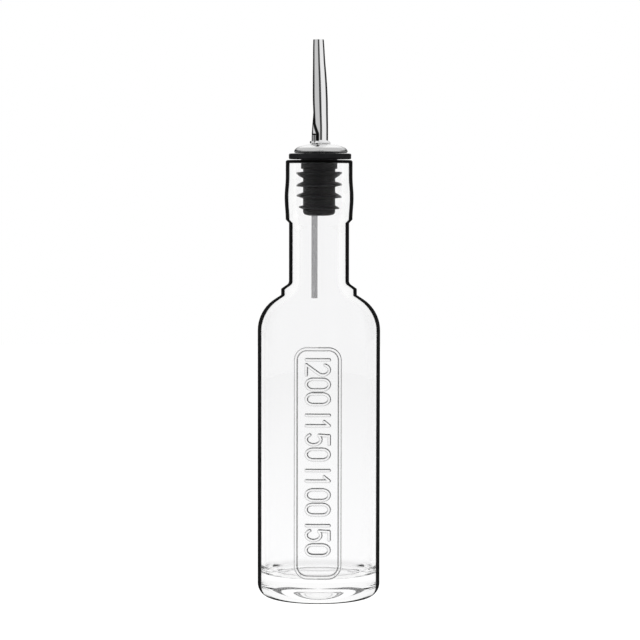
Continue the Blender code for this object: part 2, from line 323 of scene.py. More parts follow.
def rounded(corners):
    """Points of an outline through (radius, height, rounding) corners, each rounded by an arc."""
    points = []
    for index, (radius, height, rounding) in enumerate(corners):
        if not rounding:
            points.append((radius, height))
            continue
        before, after = corners[index - 1], corners[(index + 1) % len(corners)]
        angle_in = math.atan2(height - before[1], radius - before[0])
        angle_out = math.atan2(after[1] - height, after[0] - radius)
        turn = (angle_out - angle_in + math.pi) % math.tau - math.pi
        reach = rounding * math.tan(abs(turn) / 2)
        side = math.copysign(rounding, turn)
        centre_r = radius - reach * math.cos(angle_in) - side * math.sin(angle_in)
        centre_z = height - reach * math.sin(angle_in) + side * math.cos(angle_in)
        steps = max(2, math.ceil(abs(turn) / ARC_STEP))
        for step in range(steps + 1):
            angle = angle_in + turn * step / steps
            points.append((centre_r + side * math.sin(angle), centre_z - side * math.cos(angle)))
    return points


def draw_outline(name, points, azimuth=0.0, closed=False):
    """A chain of edges extruded through (radius, height) points, at an azimuth from the front."""
    deselect()
    bpy.ops.mesh.primitive_plane_add(size=LIP_ROUND)
    piece = bpy.context.object
    piece.name = piece.data.name = name
    bpy.ops.object.mode_set(mode="EDIT")
    bpy.ops.mesh.select_all(action="SELECT")
    bpy.ops.mesh.merge(type="CENTER")
    across, forward = math.sin(azimuth), -math.cos(azimuth)
    places = [(radius * across, radius * forward, height) for radius, height in points]
    bpy.ops.transform.translate(value=places[0])
    for place, following in zip(places, places[1:]):
        move = [b - a for a, b in zip(place, following)]
        bpy.ops.mesh.extrude_vertices_move(TRANSFORM_OT_translate={"value": move})
    if closed:
        bpy.ops.mesh.select_all(action="SELECT")
        bpy.ops.mesh.edge_face_add()
        bpy.ops.mesh.delete(type="ONLY_FACE")
    return piece


def spin_outline(piece, sweep, steps):
    """Turns the outline about the upright axis, clockwise seen from above."""
    bpy.ops.mesh.select_all(action="SELECT")
    bpy.ops.mesh.spin(steps=steps, angle=sweep, center=(0, 0, 0), axis=(0, 0, 1))
    bpy.ops.mesh.select_all(action="SELECT")
    bpy.ops.mesh.remove_doubles(threshold=MERGE)
    leave_edit()
    return piece


def close_up(piece):
    """Merges the seams, points the faces out and smooths what is round."""
    edit_all(piece)
    bpy.ops.mesh.remove_doubles(threshold=MERGE)
    bpy.ops.mesh.normals_make_consistent(inside=False)
    leave_edit()
    bpy.ops.object.shade_smooth_by_angle(angle=SMOOTH_ANGLE)


def shift(piece, move):
    edit_all(piece)
    bpy.ops.transform.translate(value=move)
    leave_edit()


def apply_modifier(piece, modifier):
    choose(piece)
    bpy.ops.object.modifier_apply(modifier=modifier.name)


def coordinates(piece):
    values = np.empty(3 * len(piece.data.vertices))
    piece.data.vertices.foreach_get("co", values)
    return values.reshape(-1, 3)


def set_coordinates(piece, values):
    piece.data.vertices.foreach_set("co", np.ascontiguousarray(values).ravel())
    piece.data.update()


def stands_for(piece, node, slot, *materials):
    """Puts a finished piece in place of a CAD node."""
    for material in materials:
        piece.data.materials.append(material)
    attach(piece, "root")
    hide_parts(node)


# Glass

def shoulder_corner(radius, rounding):
    """Where the line up the wall would meet the straight slope above the rounded shoulder."""
    return radius, SHOULDER_START + rounding * math.tan(SHOULDER_SWEEP / 2), rounding


def collar_outline():
    points = []
    for step in range(1, COLLAR_BULGE_STEPS):
        share = step / COLLAR_BULGE_STEPS
        height = COLLAR_FOOT + share * (COLLAR_BULGE_TOP - COLLAR_FOOT)
        points.append((COLLAR_RADIUS + COLLAR_BULGE * math.sin(math.pi * share) ** 2, height, 0))
    return points


def outside_outline(wall_rows):
    """The outside of the glass, from the middle of the base to the middle of the lip."""
    shoulder = shoulder_corner(BODY_RADIUS, SHOULDER_ROUND)
    ring_bottom = shoulder[1] + (BODY_RADIUS - RING_RADIUS) / math.tan(SHOULDER_SWEEP)
    points = rounded(
        [
            (0, PUSH_UP_HEIGHT, 0),
            (PUSH_UP_RADIUS, PUSH_UP_HEIGHT, PUSH_UP_RADIUS),
            (FOOT_RING_INNER_RADIUS, 0, FOOT_RING_ROUND),
            (BODY_RADIUS, 0, HEEL_ROUND),
            shoulder,
            (RING_RADIUS, ring_bottom, RING_ROUND),
            (RING_RADIUS, RING_TOP, RING_ROUND),
            (NECK_RADIUS, NECK_FOOT, NECK_FOOT_ROUND),
            (NECK_RADIUS, NECK_TOP, NECK_TOP_ROUND),
            (COLLAR_RADIUS, COLLAR_FOOT, COLLAR_FOOT_ROUND),
            *collar_outline(),
            (COLLAR_RADIUS, COLLAR_BULGE_TOP, 0),
            (COLLAR_RADIUS, LIP_HEIGHT, LIP_ROUND),
            (LIP_MIDDLE, LIP_HEIGHT, 0),
        ]
    )
    wall_end = next(i for i, (_, height) in enumerate(points) if height > RELIEF_HIGH)
    rise = (RELIEF_HIGH - RELIEF_LOW) / wall_rows
    wall = [(BODY_RADIUS, RELIEF_LOW + row * rise) for row in range(wall_rows + 1)]
    return points[:wall_end] + wall + points[wall_end:]


def inside_outline():
    """The inside of the glass, from the middle of the lip down to the middle of the floor."""
    shoulder = shoulder_corner(BODY_RADIUS - WALL, SHOULDER_ROUND - WALL)
    flare = shoulder[1] + (BODY_RADIUS - WALL - NECK_BORE_RADIUS) / math.tan(SHOULDER_SWEEP)
    return rounded(
        [
            (LIP_MIDDLE, LIP_HEIGHT, 0),
            (BORE_RADIUS, LIP_HEIGHT, LIP_ROUND),
            (BORE_RADIUS, BORE_TAPER_TOP, BORE_TAPER_ROUND),
            (NECK_BORE_RADIUS, BORE_TAPER_BOTTOM, BORE_TAPER_ROUND),
            (NECK_BORE_RADIUS, flare, INNER_FLARE_ROUND),
            shoulder,
            (BODY_RADIUS - WALL, FLOOR_HEIGHT, FLOOR_ROUND),
            (0, FLOOR_HEIGHT + FLOOR_CROWN, 0),
        ]
    )


def ramp(distance, half_width):
    """1 on top of a raised stroke and 0 beside it, with a smooth slope in between."""
    share = np.clip((half_width - distance) / SLOPE_WIDTH, 0, 1)
    return share * share * (3 - 2 * share)


def distance_to_path(across, height, path):
    """The distance from each point to a path of straight pieces."""
    nearest = np.full(across.shape, np.inf)
    for (x0, z0), (x1, z1) in zip(path, path[1:]):
        dx, dz = x1 - x0, z1 - z0
        share = np.clip(((across - x0) * dx + (height - z0) * dz) / (dx * dx + dz * dz), 0, 1)
        nearest = np.minimum(nearest, np.hypot(across - x0 - share * dx, height - z0 - share * dz))
    return nearest


def bow(centre_x, centre_y, radius_x, radius_y, start, end, steps=14):
    """Points of a curved stroke, from one angle in degrees to another."""
    angles = [math.radians(start + (end - start) * step / steps) for step in range(steps + 1)]
    return [(centre_x + radius_x * math.cos(a), centre_y + radius_y * math.sin(a)) for a in angles]


def digit_paths():
    """The middle lines of the digits' strokes, in a box one wide and one tall."""
    return {
        "0": [bow(0.5, 0.70, 0.5, 0.30, 0, 180) + bow(0.5, 0.30, 0.5, 0.30, 180, 360) + [(1.0, 0.70)]],
        "1": [[(0.15, 0.78), (0.55, 1.0), (0.55, 0.0)]],
        "2": [bow(0.5, 0.72, 0.48, 0.28, 160, -30) + [(0.02, 0.0), (1.0, 0.0)]],
        "5": [[(0.92, 1.0), (0.12, 1.0), (0.06, 0.56)] + bow(0.46, 0.32, 0.50, 0.32, 130, -150)],
    }


def mark_height(volume_ml):
    """The level of this much liquid inside the body."""
    area = math.pi * (BODY_RADIUS - WALL) ** 2
    corner_loss = 2 * math.pi * (BODY_RADIUS - WALL) * FLOOR_ROUND**2 * (1 - math.pi / 4)
    return FLOOR_HEIGHT + (volume_ml * 1e-6 + corner_loss) / area


def scale_strokes():
    """Strokes of the graduated scale in the flat: a line at each mark, and the number below it."""
    paths = digit_paths()
    strokes = []
    for volume in MARK_VOLUMES:
        level = mark_height(volume)
        strokes.append([(-DIGIT_TALL / 2, level), (DIGIT_TALL / 2, level)])
        for place, digit in enumerate(str(volume)):
            top = level - MARK_DROP - place * DIGIT_PITCH
            for path in paths[digit]:
                strokes.append([((y - 0.5) * DIGIT_TALL, top - x * DIGIT_WIDE) for x, y in path])
    return strokes


def frame_distance(across, height):
    """The signed distance from the middle line of the panel's frame, negative inside the panel."""
    inset = FRAME_WIDTH / 2
    corner = PANEL_CORNER - inset
    middle = (PANEL_TOP + PANEL_BOTTOM) / 2
    side = np.abs(across) - (PANEL_HALF_WIDTH - inset - corner)
    end = np.abs(height - middle) - ((PANEL_TOP - PANEL_BOTTOM) / 2 - inset - corner)
    outside = np.hypot(np.maximum(side, 0), np.maximum(end, 0))
    return outside + np.minimum(np.maximum(side, end), 0) - corner


def scale_distance(across, height):
    distance = np.full(across.shape, np.inf)
    for stroke in scale_strokes():
        distance = np.minimum(distance, distance_to_path(across, height, stroke))
    return distance


def slope_line(rise):
    """1 halfway up a slope, and 0 at its foot and on its top."""
    return 4 * rise * (1 - rise)


def number_shade(across, height, distance):
    """How dark the painted shade on the numbers' slopes is, more on one side of each stroke than on the
    other.
    """
    shifted = scale_distance(across - SHADE_STEP, height - SHADE_STEP)
    return NUMBER_SHADE + NUMBER_SWING * np.clip((distance - shifted) / SHADE_STEP, -1, 1)


def raise_relief(piece):
    """Raises the frame and the scale on the front wall, and keeps the painted shade on their slopes as a
    point attribute.
    """
    places = coordinates(piece)
    radius, height = np.hypot(places[:, 0], places[:, 1]), places[:, 2]
    on_wall = (radius > BODY_RADIUS - MERGE) & (height > RELIEF_LOW - MERGE) & (height < RELIEF_HIGH + MERGE)
    azimuth = np.arctan2(places[on_wall, 0], -places[on_wall, 1])
    across, height = (azimuth - PANEL_TURN) * BODY_RADIUS, height[on_wall]
    from_frame = frame_distance(across, height)
    from_number = scale_distance(across, height)
    frame_rise = ramp(np.abs(from_frame), FRAME_WIDTH / 2)
    number_rise = ramp(from_number, STROKE / 2)
    raised = BODY_RADIUS + np.maximum(frame_rise * FRAME_HEIGHT, number_rise * NUMBER_HEIGHT)
    places[on_wall, 0] = raised * np.sin(azimuth)
    places[on_wall, 1] = -raised * np.cos(azimuth)
    set_coordinates(piece, places)
    outer_line = np.where(across > 0, OUTER_LINE_RIGHT, OUTER_LINE_LEFT)
    frame_line = slope_line(frame_rise) * np.where(from_frame < 0, 1.0, outer_line)
    number_line = NUMBER_LINE * slope_line(number_rise) * number_shade(across, height, from_number)
    line = np.zeros(len(places), dtype=np.float32)
    line[on_wall] = np.maximum(frame_line, number_line)
    attribute = piece.data.attributes.new("relief_painted_shade", "FLOAT", "POINT")
    attribute.data.foreach_set("value", line)


def divide_seam(piece, azimuths):
    """Divides the upright edges of the back's wall where it meets the finely divided front."""
    choose(piece)
    places = coordinates(piece)
    at_seam = np.zeros(len(places), dtype=bool)
    for azimuth in azimuths:
        x, y = BODY_RADIUS * math.sin(azimuth), -BODY_RADIUS * math.cos(azimuth)
        at_seam |= np.hypot(places[:, 0] - x, places[:, 1] - y) < MERGE
    ends = (np.abs(places[:, 2] - RELIEF_LOW) < MERGE) | (np.abs(places[:, 2] - RELIEF_HIGH) < MERGE)
    chosen = at_seam & ends
    bpy.ops.object.mode_set(mode="EDIT")
    bpy.ops.mesh.select_mode(type="EDGE")
    bpy.ops.mesh.select_all(action="DESELECT")
    leave_edit()
    for edge in piece.data.edges:
        edge.select = bool(chosen[edge.vertices[0]] and chosen[edge.vertices[1]])
    bpy.ops.object.mode_set(mode="EDIT")
    bpy.ops.mesh.subdivide(number_cuts=RELIEF_ROWS - 1)
    bpy.ops.mesh.select_mode(type="VERT")
    leave_edit()


def make_glass():
    outside = outside_material()
    inside = inside_material()
    parts = []
    for name, start, sweep, steps, rows in (
        ("glass_back", -FRONT_HALF_ANGLE, math.tau - 2 * FRONT_HALF_ANGLE, BACK_STEPS, 1),
        ("glass_front", FRONT_HALF_ANGLE, 2 * FRONT_HALF_ANGLE, FRONT_STEPS, RELIEF_ROWS),
    ):
        outer = spin_outline(draw_outline(name, outside_outline(rows), start), sweep, steps)
        inner = spin_outline(draw_outline(name + "_inside", inside_outline(), start), sweep, steps)
        outer.data.materials.append(outside)
        inner.data.materials.append(inside)
        if rows > 1:
            raise_relief(outer)
        else:
            divide_seam(outer, (-FRONT_HALF_ANGLE, FRONT_HALF_ANGLE))
        parts += [outer, inner]
    # The others join the front's outside, which carries relief_painted_shade.
    choose(parts[2], *parts)
    bpy.ops.object.join()
    bottle = bpy.context.object
    bottle.name = bottle.data.name = "bottle_glass"
    close_up(bottle)
    stands_for(bottle, "glass_bottle", "clear_glass")
    bottle.visible_shadow = False
    bottle.visible_diffuse = False


# Pourer

def stopper_corners():
    corners = [
        (STOPPER_BORE, FLANGE_TOP, 0),
        (FLANGE_RADIUS, FLANGE_TOP, FLANGE_ROUND),
        (FLANGE_RADIUS, FLANGE_BOTTOM, FLANGE_ROUND),
        (SHANK_RADIUS, FLANGE_BOTTOM, RUBBER_CREASE),
        (SHANK_RADIUS, SHANK_BOTTOM, RUBBER_EDGE),
        (CORK_RADIUS, SHANK_BOTTOM, RUBBER_CREASE),
    ]
    for height, radius, above, below, _ in FINS:
        middle = (CORK_RADIUS + radius) / 2
        corners += [
            (CORK_RADIUS, height + above, 0),
            (middle, height + FIN_SWELL * above, 0),
            (radius, height + FIN_EDGE, FIN_EDGE),
            (radius, height - FIN_EDGE, FIN_EDGE),
            (middle, height - FIN_SWELL * below, 0),
            (CORK_RADIUS, height - below, 0),
        ]
    corners += [
        (CORK_RADIUS, CORK_BOTTOM + CORK_CROWN, CORK_ROUND),
        (STOPPER_BORE, CORK_BOTTOM, RUBBER_EDGE),
    ]
    return corners


def sag_fins(places):
    """Lowers each fin a little on one side, as soft rubber stands in a mouth."""
    radius = np.hypot(places[:, 0], places[:, 1])
    rightward = places[:, 0] / np.maximum(radius, MERGE)
    for height, fin_radius, above, below, sag in FINS:
        near = (places[:, 2] < height + above) & (places[:, 2] > height - below)
        share = (radius - CORK_RADIUS) / (fin_radius - CORK_RADIUS)
        places[:, 2] -= np.where(near & (radius > CORK_RADIUS + MERGE), sag * rightward * share, 0)


def make_stopper():
    outline = draw_outline("stopper_rubber", rounded(stopper_corners()), closed=True)
    stopper = spin_outline(outline, math.tau, STOPPER_STEPS)
    places = coordinates(stopper)
    on_flange = np.hypot(places[:, 0], places[:, 1]) > BORE_RADIUS
    sag_fins(places)
    places[:, 0] += np.where(on_flange, FLANGE_CENTRE_X, 0)
    set_coordinates(stopper, places)
    close_up(stopper)
    stands_for(stopper, "rubber_stopper", "black_rubber", rubber_material())


def make_dome(steel):
    top, bottom = DOME_HIGH[2], DOME_LOW[2]
    rise = top - bottom - DOME_SIDE
    outline = [(DOME_BORE, bottom), (DOME_RADIUS - GAP, bottom)]
    last = math.acos((DOME_BORE / DOME_RADIUS) ** (DOME_FLATNESS / 2))
    for step in range(DOME_STEPS + 1):
        angle = last * step / DOME_STEPS
        radius = DOME_RADIUS * math.cos(angle) ** (2 / DOME_FLATNESS)
        outline.append((radius, bottom + DOME_SIDE + rise * math.sin(angle)))
    dome = spin_outline(draw_outline("dome_steel", outline, closed=True), math.tau, DOME_ROUND_STEPS)
    shift(dome, (DOME_CENTRE_X, 0, 0))
    close_up(dome)
    stands_for(dome, "steel_dome", "polished_steel", steel)


def smooth_between(stations, height):
    """The station values at a height, read from a smooth curve through the stations."""
    heights = [station[0] for station in stations]
    index = min(max(sum(h <= height for h in heights) - 1, 0), len(stations) - 2)
    low, high = stations[index], stations[index + 1]
    before, after = stations[max(index - 1, 0)], stations[min(index + 2, len(stations) - 1)]
    span = high[0] - low[0]
    t = min(max((height - low[0]) / span, 0.0), 1.0)
    values = []
    for item in (1, 2):
        slope_low = (high[item] - before[item]) / (high[0] - before[0]) * span
        slope_high = (after[item] - low[item]) / (after[0] - low[0]) * span
        values.append(
            (2 * t**3 - 3 * t**2 + 1) * low[item]
            + (t**3 - 2 * t**2 + t) * slope_low
            + (3 * t**2 - 2 * t**3) * high[item]
            + (t**3 - t**2) * slope_high
        )
    return values


def spout_rings():
    """Height, radius and centre of each ring of the spout, from its foot to its tip."""
    foot = SPOUT_LOW[2]
    foot_top = foot + SPOUT_FOOT_HEIGHT
    _, radius, centre = SPOUT_STATIONS[0]
    fillet = SPOUT_FOOT_RADIUS - radius - FILLET_INSET
    rings = [(foot + rise, SPOUT_FOOT_RADIUS - inset, centre) for rise, inset in SPOUT_FOOT_RINGS]
    for share in FILLET_SHARES:
        height = foot_top + FILLET_START + FILLET_RISE * share**2
        rings.append((height, radius + fillet * (1 - share) ** 2, centre))
    height = foot_top + SPOUT_TUBE_START
    tip = SPOUT_STATIONS[-1][0]
    while height < tip - SPOUT_RING_STEP / 2:
        rings.append((height, *smooth_between(SPOUT_STATIONS, height)))
        height += SPOUT_RING_STEP
    rings.append((tip, *smooth_between(SPOUT_STATIONS, tip)))
    return rings


def wrap_air_tube(piece):
    """Swells the spout's left side into the hood over the vent and the lobe round the air tube's foot."""
    places = coordinates(piece)
    centre = SPOUT_STATIONS[0][2]
    x, y, z = places[:, 0] - centre, places[:, 1], places[:, 2]
    radius = np.hypot(x, y)
    share = np.clip((z - HOOD_BOTTOM) / (HOOD_TOP - HOOD_BOTTOM), 0, 1)
    in_foot = z < SPOUT_LOW[2] + SPOUT_FOOT_HEIGHT + GAP
    hood_x, hood_y = (low + (high - low) * share for low, high in zip(HOOD_CENTRE, HOOD_TIP))
    lobe_x = np.where(in_foot, AIR_TUBE_X - centre, hood_x)
    lobe_y = np.where(in_foot, AIR_TUBE_Y, hood_y)
    lobe_radius = np.where(in_foot, SPOUT_FOOT_LOBE, HOOD_RADIUS * (1 - share))
    along = (lobe_x * x + lobe_y * y) / radius
    across_squared = lobe_x**2 + lobe_y**2 - along**2
    wraps = (along > 0) & (across_squared < lobe_radius**2) & (z < HOOD_TOP + GAP)
    reach = along + np.sqrt(np.maximum(lobe_radius**2 - across_squared, 0))
    grown = np.where(wraps, np.maximum(radius, reach), radius)
    places[:, 0] = centre + x / radius * grown
    places[:, 1] = y / radius * grown
    set_coordinates(piece, places)
    # Painted shade in the fold where the hood meets the tube, kept as a point attribute.
    lobe_centre = np.hypot(lobe_x, lobe_y)
    meeting = (radius**2 + lobe_centre**2 - lobe_radius**2) / (2 * radius * lobe_centre)
    aside = np.arccos(np.clip(along / lobe_centre, -1, 1)) - np.arccos(np.clip(meeting, -1, 1))
    fold = np.clip(1 - np.abs(aside) * radius / FOLD_WIDTH, 0, 1) * (~in_foot & (z < HOOD_TOP))
    attribute = piece.data.attributes.new("fold_painted_shade", "FLOAT", "POINT")
    attribute.data.foreach_set("value", fold.astype(np.float32))


def extrude_rings(name, rings, sides):
    """A tube without thickness, extruded through rings of a height, a radius and a centre."""
    height, radius, centre = rings[0]
    deselect()
    bpy.ops.mesh.primitive_circle_add(vertices=sides, radius=radius, fill_type="NOTHING")
    tube = bpy.context.object
    tube.name = tube.data.name = name
    bpy.ops.object.mode_set(mode="EDIT")
    bpy.ops.mesh.select_all(action="SELECT")
    bpy.ops.transform.translate(value=(centre, 0, height))
    for (low, radius, centre), (high, next_radius, next_centre) in zip(rings, rings[1:]):
        move = (next_centre - centre, 0, high - low)
        bpy.ops.mesh.extrude_edges_move(TRANSFORM_OT_translate={"value": move})
        scale = next_radius / radius
        bpy.ops.transform.resize(value=(scale, scale, 1), center_override=(next_centre, 0, high))
    leave_edit()
    return tube


def give_wall(piece, thickness):
    """Thickens an open tube inwards, with its second material inside."""
    edit_all(piece)
    bpy.ops.mesh.normals_make_consistent(inside=False)
    leave_edit()
    wall = piece.modifiers.new("wall", "SOLIDIFY")
    wall.thickness = thickness
    wall.offset = -1
    wall.material_offset = 1
    apply_modifier(piece, wall)


def cut_slot(spout):
    """Cuts the air tube's room out of the spout, up to the hood."""
    deselect()
    depth = HOOD_BOTTOM - SPOUT_LOW[2] + GAP
    middle = HOOD_BOTTOM - depth / 2
    bpy.ops.mesh.primitive_cylinder_add(
        vertices=SLOT_STEPS,
        radius=AIR_TUBE_RADIUS + GAP,
        depth=depth,
        location=(AIR_TUBE_X, AIR_TUBE_Y, middle),
    )
    cutter = bpy.context.object
    slot = spout.modifiers.new("slot", "BOOLEAN")
    slot.operation = "DIFFERENCE"
    slot.object = cutter
    apply_modifier(spout, slot)
    bpy.data.objects.remove(cutter)


def make_spout(steel, inside_steel):
    spout = extrude_rings("spout_steel", spout_rings(), SPOUT_SIDES)
    wrap_air_tube(spout)
    spout.data.materials.append(steel)
    spout.data.materials.append(inside_steel)
    give_wall(spout, SPOUT_WALL)
    cut_slot(spout)
    close_up(spout)
    stands_for(spout, "steel_spout", "polished_steel")


def make_air_tube(steel):
    bore = AIR_TUBE_RADIUS - TUBE_WALL
    low, high = TUBE_LOW[2], TUBE_HIGH[2]
    corners = ((bore, low), (AIR_TUBE_RADIUS, low), (AIR_TUBE_RADIUS, high), (bore, high))
    outline = rounded([(radius, height, TUBE_EDGE) for radius, height in corners])
    tube = spin_outline(draw_outline("air_tube_steel", outline, closed=True), math.tau, TUBE_STEPS)
    shift(tube, (AIR_TUBE_X, AIR_TUBE_Y, 0))
    close_up(tube)
    stands_for(tube, "air_tube", "polished_steel", steel)


# Materials

def new_material(name):
    material = bpy.data.materials.new(name)
    material.use_nodes = True
    return material, material.node_tree.nodes, material.node_tree.links


def feed(links, value, socket):
    """Sets a socket to a number or a colour, or links another socket to it."""
    if isinstance(value, (int, float)):
        socket.default_value = value
    elif isinstance(value, tuple):
        socket.default_value = (*value, 1)
    else:
        links.new(value, socket)


def math_node(nodes, links, operation, *values):
    node = nodes.new("ShaderNodeMath")
    node.operation = operation
    for value, socket in zip(values, node.inputs):
        feed(links, value, socket)
    return node.outputs[0]


def one_less(nodes, links, value):
    """1 less the value."""
    return math_node(nodes, links, "SUBTRACT", 1.0, value)


def vector_node(nodes, links, operation, vector):
    node = nodes.new("ShaderNodeVectorMath")
    node.operation = operation
    links.new(vector, node.inputs[0])
    return node


def map_range(nodes, links, value, from_low, from_high, to_low, to_high, smooth=True):
    node = nodes.new("ShaderNodeMapRange")
    if smooth:
        node.interpolation_type = "SMOOTHSTEP"
    links.new(value, node.inputs["Value"])
    for name, number in (
        ("From Min", from_low), ("From Max", from_high), ("To Min", to_low), ("To Max", to_high)
    ):
        node.inputs[name].default_value = number
    return node.outputs["Result"]


def mix_number(nodes, links, share, first, second):
    node = nodes.new("ShaderNodeMix")
    links.new(share, node.inputs["Factor"])
    feed(links, first, node.inputs[2])
    feed(links, second, node.inputs[3])
    return node.outputs[0]


def mix_colour(nodes, links, share, first, second):
    node = nodes.new("ShaderNodeMix")
    node.data_type = "RGBA"
    links.new(share, node.inputs["Factor"])
    feed(links, first, node.inputs[6])
    feed(links, second, node.inputs[7])
    return node.outputs[2]


def mottle_group():
    """Shared unevenness: noise stretched along Z, as a mask from 0 to 1 and as a bumped normal."""
    group = bpy.data.node_groups.new("uneven_surface", "ShaderNodeTree")
    for name, value in (("Scale", 400.0), ("Stretch", 1.0), ("Bump", 0.1), ("Depth", 0.00002)):
        socket = group.interface.new_socket(name, in_out="INPUT", socket_type="NodeSocketFloat")
        socket.default_value = value
    group.interface.new_socket("Mask", in_out="OUTPUT", socket_type="NodeSocketFloat")
    group.interface.new_socket("Normal", in_out="OUTPUT", socket_type="NodeSocketVector")
    nodes, links = group.nodes, group.links
    inputs, outputs = nodes.new("NodeGroupInput"), nodes.new("NodeGroupOutput")
    place = nodes.new("ShaderNodeTexCoord")
    stretch = nodes.new("ShaderNodeCombineXYZ")
    stretch.inputs["X"].default_value = stretch.inputs["Y"].default_value = 1
    links.new(inputs.outputs["Stretch"], stretch.inputs["Z"])
    scaled = vector_node(nodes, links, "MULTIPLY", place.outputs["Object"])
    links.new(stretch.outputs["Vector"], scaled.inputs[1])
    noise = nodes.new("ShaderNodeTexNoise")
    noise.inputs["Detail"].default_value = 3
    links.new(scaled.outputs["Vector"], noise.inputs["Vector"])
    links.new(inputs.outputs["Scale"], noise.inputs["Scale"])
    bump = nodes.new("ShaderNodeBump")
    links.new(inputs.outputs["Bump"], bump.inputs["Strength"])
    links.new(inputs.outputs["Depth"], bump.inputs["Distance"])
    links.new(noise.outputs["Fac"], bump.inputs["Height"])
    links.new(noise.outputs["Fac"], outputs.inputs["Mask"])
    links.new(bump.outputs["Normal"], outputs.inputs["Normal"])
    return group


def place_group(nodes, group, values):
    node = nodes.new("ShaderNodeGroup")
    node.node_tree = group
    for name, value in values.items():
        node.inputs[name].default_value = value
    return node


def object_place(nodes, links):
    """The place on the object, split into X, Y and Z."""
    place = nodes.new("ShaderNodeTexCoord")
    parts = nodes.new("ShaderNodeSeparateXYZ")
    links.new(place.outputs["Object"], parts.inputs[0])
    return parts.outputs


def from_axis(nodes, links, place):
    """The distance from the upright axis, and the level direction away from it."""
    flat = nodes.new("ShaderNodeCombineXYZ")
    links.new(place["X"], flat.inputs["X"])
    links.new(place["Y"], flat.inputs["Y"])
    length = vector_node(nodes, links, "LENGTH", flat.outputs["Vector"])
    outward = vector_node(nodes, links, "NORMALIZE", flat.outputs["Vector"])
    return length.outputs["Value"], outward.outputs["Vector"]


def glass_shader(nodes):
    shader = nodes["Principled BSDF"]
    shader.inputs["Transmission Weight"].default_value = 1
    shader.inputs["Roughness"].default_value = 0
    shader.inputs["IOR"].default_value = GLASS_IOR
    shader.inputs["Specular Tint"].default_value = GLASS_SHINE
    return shader


def edge_clearness(nodes, links, limit, normal=None):
    """1 where the surface faces the eye, 0 where it turns away past the limit."""
    layer = nodes.new("ShaderNodeLayerWeight")
    if normal:
        links.new(normal, layer.inputs["Normal"])
    facing = one_less(nodes, links, layer.outputs["Facing"])
    ratio = math_node(nodes, links, "DIVIDE", facing, limit)
    return map_range(nodes, links, ratio, *EDGE_FADE, 0.0, 1.0)


def edge_limit(nodes, links, distance):
    """The facing below which the outline is painted dark, for a painted line of one width from any height of
    view.
    """
    radius = math_node(nodes, links, "MAXIMUM", distance, NECK_RADIUS)
    level_limit = math_node(nodes, links, "SQRT", math_node(nodes, links, "DIVIDE", 2 * EDGE_LINE, radius))
    up = nodes.new("ShaderNodeCombineXYZ")
    up.inputs["Z"].default_value = 1
    layer = nodes.new("ShaderNodeLayerWeight")
    links.new(up.outputs["Vector"], layer.inputs["Normal"])
    steep = one_less(nodes, links, layer.outputs["Facing"])
    level = one_less(nodes, links, math_node(nodes, links, "MULTIPLY", steep, steep))
    level = math_node(nodes, links, "SQRT", math_node(nodes, links, "MAXIMUM", level, LEVEL_MIN))
    return math_node(nodes, links, "MULTIPLY", level_limit, level)


def heel_clearness(nodes, links, height, distance):
    """0 along the heel where it turns under the bottle, seen from outside, where it is painted dark, and 1
    elsewhere.
    """
    low = map_range(nodes, links, height, *HEEL_ZONE, 1.0, 0.0)
    beyond_ring = map_range(nodes, links, distance, *UNDER_ZONE, 0.0, 1.0)
    zone = math_node(nodes, links, "MULTIPLY", low, beyond_ring)
    side = nodes.new("ShaderNodeNewGeometry")
    outer_side = one_less(nodes, links, side.outputs["Backfacing"])
    line = one_less(nodes, links, edge_clearness(nodes, links, HEEL_LIMIT))
    line = math_node(nodes, links, "MULTIPLY", line, outer_side)
    return one_less(nodes, links, math_node(nodes, links, "MULTIPLY", zone, line))


def step_share(nodes, links, height):
    """1 where the wall steps in and out, and 0 elsewhere."""
    shares = []
    for low, high, fade_below, fade_above in STEP_ZONES:
        rising = map_range(nodes, links, height, low - fade_below, low, 0.0, 1.0)
        falling = map_range(nodes, links, height, high, high + fade_above, 1.0, 0.0)
        shares.append(math_node(nodes, links, "MULTIPLY", rising, falling))
    return math_node(nodes, links, "MAXIMUM", *shares)


def level_normal(nodes, links, height, outward, facing_out):
    """The normal laid level where the wall steps in and out, so the steps don't bend the view up or down."""
    geometry = nodes.new("ShaderNodeNewGeometry")
    turned = math_node(nodes, links, "MULTIPLY", geometry.outputs["Backfacing"], 2 * facing_out)
    side = vector_node(nodes, links, "SCALE", outward)
    links.new(math_node(nodes, links, "SUBTRACT", facing_out, turned), side.inputs["Scale"])
    blend = nodes.new("ShaderNodeMix")
    blend.data_type = "VECTOR"
    links.new(step_share(nodes, links, height), blend.inputs["Factor"])
    links.new(geometry.outputs["Normal"], blend.inputs[4])
    links.new(side.outputs["Vector"], blend.inputs[5])
    return vector_node(nodes, links, "NORMALIZE", blend.outputs[1]).outputs["Vector"]


